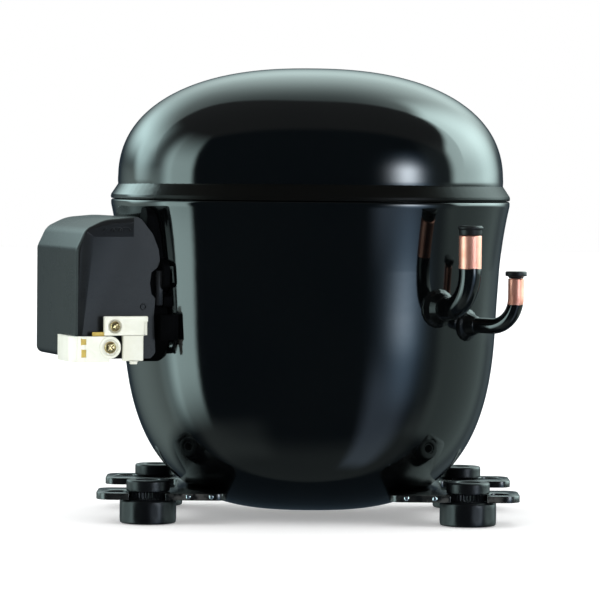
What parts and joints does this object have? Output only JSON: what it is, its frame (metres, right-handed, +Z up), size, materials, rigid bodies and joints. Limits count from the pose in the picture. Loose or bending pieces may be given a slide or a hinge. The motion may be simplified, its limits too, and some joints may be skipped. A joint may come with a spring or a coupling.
{
  "type": "hermetic reciprocating compressor",
  "caption": "Hermetic refrigeration compressor: glossy black welded steel casing on base plates with rubber feet, copper connector tubes, terminal box, with the motor and piston pump inside.",
  "frame": {"origin": "middle of the overall bounding box, on the plane that the rubber feet stand on", "axes": "+X to the right along the longest side, from the terminal box towards the connector tubes; -Y is the front, +Z is up"},
  "size_m": [0.2534, 0.196, 0.2358],
  "materials": {
    "black_enamel": "gloss",
    "black_rubber": "matte",
    "zinc_steel": "satin",
    "copper_tube": "satin copper under black paint at the roots",
    "black_plastic": "satin",
    "white_nylon": "satin",
    "yellow_passivated_steel": "yellow passivated",
    "machined_steel": "machined",
    "cast_iron": "as cast",
    "electrical_steel": "stacked laminations",
    "enamelled_copper": "enamelled winding wire",
    "die_cast_aluminium": "die cast",
    "muffler_plastic": "moulded",
    "terminal_glass": "fused glass",
    "gasket_fibre": "matte"
  },
  "bodies": {
    "housing": {"base_plate_left": "black_enamel", "base_plate_right": "black_enamel", "discharge_tube": "copper_tube", "grommet_front_left": "black_rubber", "grommet_front_right": "black_rubber", "grommet_rear_left": "black_rubber", "grommet_rear_right": "black_rubber", "grommet_sleeve_front_left": "zinc_steel", "grommet_sleeve_front_right": "zinc_steel", "grommet_sleeve_rear_left": "zinc_steel", "grommet_sleeve_rear_right": "zinc_steel", "lower_shell": "black_enamel", "overload_protector": "black_plastic", "process_tube": "copper_tube", "seam_weld": "black_enamel", "start_relay": "black_plastic", "suction_tube": "copper_tube", "suspension_spring_front_left": "machined_steel", "suspension_spring_front_right": "machined_steel", "suspension_spring_rear_left": "machined_steel", "suspension_spring_rear_right": "machined_steel", "terminal_cup": "zinc_steel", "terminal_fence": "black_plastic", "terminal_insulator": "terminal_glass", "terminal_pin_common": "machined_steel", "terminal_pin_run": "machined_steel", "terminal_pin_start": "machined_steel", "upper_shell": "black_enamel"},
    "cover": {"terminal_cover": "black_plastic", "cord_clamp_body": "white_nylon", "cord_clamp_strap": "white_nylon", "cord_clamp_screw_lower": "yellow_passivated_steel", "cord_clamp_screw_upper": "yellow_passivated_steel"},
    "pump": {"cylinder_block": "cast_iron", "stator_core": "electrical_steel", "upper_end_winding": "enamelled_copper", "lower_end_winding": "enamelled_copper", "head_gasket": "gasket_fibre", "valve_plate": "machined_steel", "cylinder_head": "die_cast_aluminium", "head_bolt_1": "machined_steel", "head_bolt_2": "machined_steel", "head_bolt_3": "machined_steel", "head_bolt_4": "machined_steel", "suction_muffler": "muffler_plastic", "discharge_line": "copper_tube"},
    "crank": {"crankshaft": "machined_steel", "rotor": "electrical_steel", "rotor_counterweight": "machined_steel", "oil_pickup": "machined_steel", "thrust_washer": "machined_steel"},
    "piston": {"piston": "machined_steel", "wrist_pin": "machined_steel"},
    "rod": {"connecting_rod": "die_cast_aluminium", "crank_pin": "machined_steel"},
    "suction_valve": {"suction_reed": "machined_steel"},
    "discharge_valve": {"discharge_reed": "machined_steel"},
    "suction_cap": {"suction_plug": "black_rubber"},
    "discharge_cap": {"discharge_plug": "black_rubber"},
    "process_cap": {"process_plug": "black_rubber"}
  },
  "joints": [
    {"name": "pump_suspension", "type": "slide", "parent": "housing", "child": "pump", "axis": [0, 0, 1], "range_m": [-0.003, 0.003], "stiffness_N_per_m": 30000, "springref_m": 0.003, "deforming": ["suspension_spring_front_left", "suspension_spring_front_right", "suspension_spring_rear_left", "suspension_spring_rear_right"]},
    {"name": "crank_spin", "type": "hinge", "parent": "pump", "child": "crank", "pos_m": [0.0165, 0, 0.1], "axis": [0, 0, 1], "continuous": true},
    {"name": "piston_slide", "type": "slide", "parent": "pump", "child": "piston", "axis": [1, 0, 0], "range_m": [-0.019, 0]},
    {"name": "rod_swing", "type": "hinge", "parent": "piston", "child": "rod", "pos_m": [0.066, 0, 0.168], "axis": [0, 0, 1], "range_deg": [-13.7, 13.7]},
    {"name": "suction_reed_flex", "type": "hinge", "parent": "pump", "child": "suction_valve", "pos_m": [0.0822, -0.0075, 0.179], "axis": [0, 1, 0], "range_deg": [0, 2.4], "stiffness_Nm_per_rad": 0.02},
    {"name": "discharge_reed_flex", "type": "hinge", "parent": "pump", "child": "discharge_valve", "pos_m": [0.086, 0.0075, 0.179], "axis": [0, 1, 0], "range_deg": [-2.4, 0], "stiffness_Nm_per_rad": 0.02},
    {"name": "cover_pull", "type": "slide", "parent": "housing", "child": "cover", "axis": [-0.9415, -0.3371, 0], "range_m": [0, 0.05]},
    {"name": "suction_plug_pull", "type": "slide", "parent": "housing", "child": "suction_cap", "axis": [0, 0, 1], "range_m": [0, 0.02]},
    {"name": "discharge_plug_pull", "type": "slide", "parent": "housing", "child": "discharge_cap", "axis": [0, 0, 1], "range_m": [0, 0.02]},
    {"name": "process_plug_pull", "type": "slide", "parent": "housing", "child": "process_cap", "axis": [0, 0, 1], "range_m": [0, 0.02]}
  ]
}
